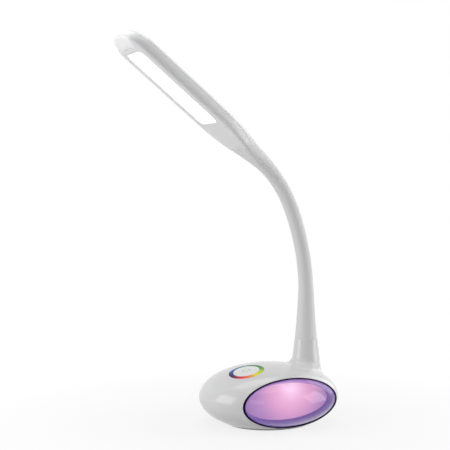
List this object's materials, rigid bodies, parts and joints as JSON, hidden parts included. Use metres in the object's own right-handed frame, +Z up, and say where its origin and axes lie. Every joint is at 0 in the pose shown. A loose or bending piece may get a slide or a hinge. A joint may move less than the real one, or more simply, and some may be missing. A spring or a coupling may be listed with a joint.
{
  "type": "desk lamp",
  "caption": "Desk lamp with a pebble-shaped base, an oval coloured light window, a touch key, a flexible neck and a long flat LED head.",
  "frame": {"origin": "on the table under the centre of the base's oval, at the middle of the anti-slip pad's underside", "axes": "+Z up, the light window faces -Y, the head reaches towards -X and the neck stands on the +X side"},
  "size_m": [0.2604, 0.1436, 0.4248],
  "materials": {
    "white_shell": "gloss moulded, polished",
    "white_cover": "fine moulded texture",
    "ballast_steel": "machined, plain",
    "screw_steel": "zinc plated",
    "foot_rubber": "soft matte",
    "clear_dome": "clear, polished",
    "gasket_black": "dark gloss",
    "tub_white": "satin, lit from behind",
    "window_glow": "opal, lit in pink and violet",
    "box_white": "plain moulded",
    "board_green": "lacquered circuit board",
    "led_yellow": "moulded LED body",
    "ring_rainbow": "opal, lit in a rainbow round the ring",
    "pad_white": "gloss moulded",
    "post_brass": "turned",
    "chip_black": "moulded package",
    "capacitor_blue": "sleeved can",
    "socket_cream": "plain moulded",
    "wire_red": "soft insulation",
    "cable_grey": "soft insulation",
    "neck_steel": "turned",
    "sleeve_rubber": "fine matte skin",
    "head_white": "satin moulded",
    "head_gloss": "gloss moulded",
    "panel_glow": "opal, lit evenly in white",
    "heat_aluminium": "rolled sheet"
  },
  "bodies": {
    "base": {"base_shell": "white_shell", "base_cover": "white_cover", "ballast_plate": "ballast_steel", "base_screws": "screw_steel", "foot_pad": "foot_rubber", "window_cover": "clear_dome", "window_gasket": "gasket_black", "light_tub": "tub_white", "window_diffuser": "window_glow", "light_box": "box_white", "rgb_board": "board_green", "rgb_leds": "led_yellow", "light_box_screws": "screw_steel", "touch_ring": "ring_rainbow", "touch_pad": "pad_white", "touch_board": "board_green", "touch_leds": "led_yellow", "touch_board_screws": "screw_steel", "control_board": "board_green", "board_standoffs": "post_brass", "board_screws": "screw_steel", "control_chip": "chip_black", "power_inductor": "chip_black", "power_capacitor": "capacitor_blue", "board_sockets": "socket_cream", "dc_jack": "chip_black", "dc_pin": "post_brass", "jack_wires": "wire_red", "touch_wires": "wire_red", "light_wires": "wire_red", "arm_cable": "cable_grey", "arm_root_fitting": "neck_steel", "arm_root_washer": "neck_steel", "arm_root_nut": "neck_steel", "neck_sleeve_1": "sleeve_rubber"},
    "link_1": {"hose_link_1": "neck_steel", "neck_sleeve_2": "sleeve_rubber"},
    "link_2": {"hose_link_2": "neck_steel", "neck_sleeve_3": "sleeve_rubber"},
    "link_3": {"hose_link_3": "neck_steel", "neck_sleeve_4": "sleeve_rubber"},
    "link_4": {"hose_link_4": "neck_steel", "neck_sleeve_5": "sleeve_rubber"},
    "head": {"arm_head_fitting": "neck_steel", "head_boot": "sleeve_rubber", "head_bottom_cover": "head_white", "head_top_cover": "head_gloss", "head_diffuser": "panel_glow", "head_frame": "box_white", "head_led_board": "board_green", "head_leds": "led_yellow", "head_heat_plate": "heat_aluminium", "head_board_screws": "screw_steel", "neck_clamp_block": "heat_aluminium", "neck_clamp_screws": "screw_steel", "head_connector": "socket_cream"}
  },
  "joints": [
    {"name": "neck_tilt_low", "type": "hinge", "parent": "base", "child": "link_1", "pos_m": [0.0485, 0, 0.12902], "axis": [0, 1, 0], "range_deg": [-10, 12], "deforming": ["neck_sleeve_1", "arm_cable"]},
    {"name": "neck_swing_low", "type": "hinge", "parent": "link_1", "child": "link_2", "pos_m": [0.04619, 0, 0.17391], "axis": [0.9911, 0, 0.1331], "range_deg": [-15, 15], "deforming": ["neck_sleeve_2", "arm_cable"]},
    {"name": "neck_tilt_middle", "type": "hinge", "parent": "link_2", "child": "link_3", "pos_m": [0.03637, 0, 0.21777], "axis": [0, 1, 0], "range_deg": [-15, 20], "deforming": ["neck_sleeve_3", "arm_cable"]},
    {"name": "neck_swing_high", "type": "hinge", "parent": "link_3", "child": "link_4", "pos_m": [0.01845, 0, 0.25892], "axis": [0.8484, 0, 0.5294], "range_deg": [-15, 15], "deforming": ["neck_sleeve_4", "arm_cable"]},
    {"name": "head_tilt", "type": "hinge", "parent": "link_4", "child": "head", "pos_m": [-0.01144, 0, 0.29226], "axis": [0, 1, 0], "range_deg": [-25, 35], "deforming": ["neck_sleeve_5", "arm_cable"]}
  ]
}
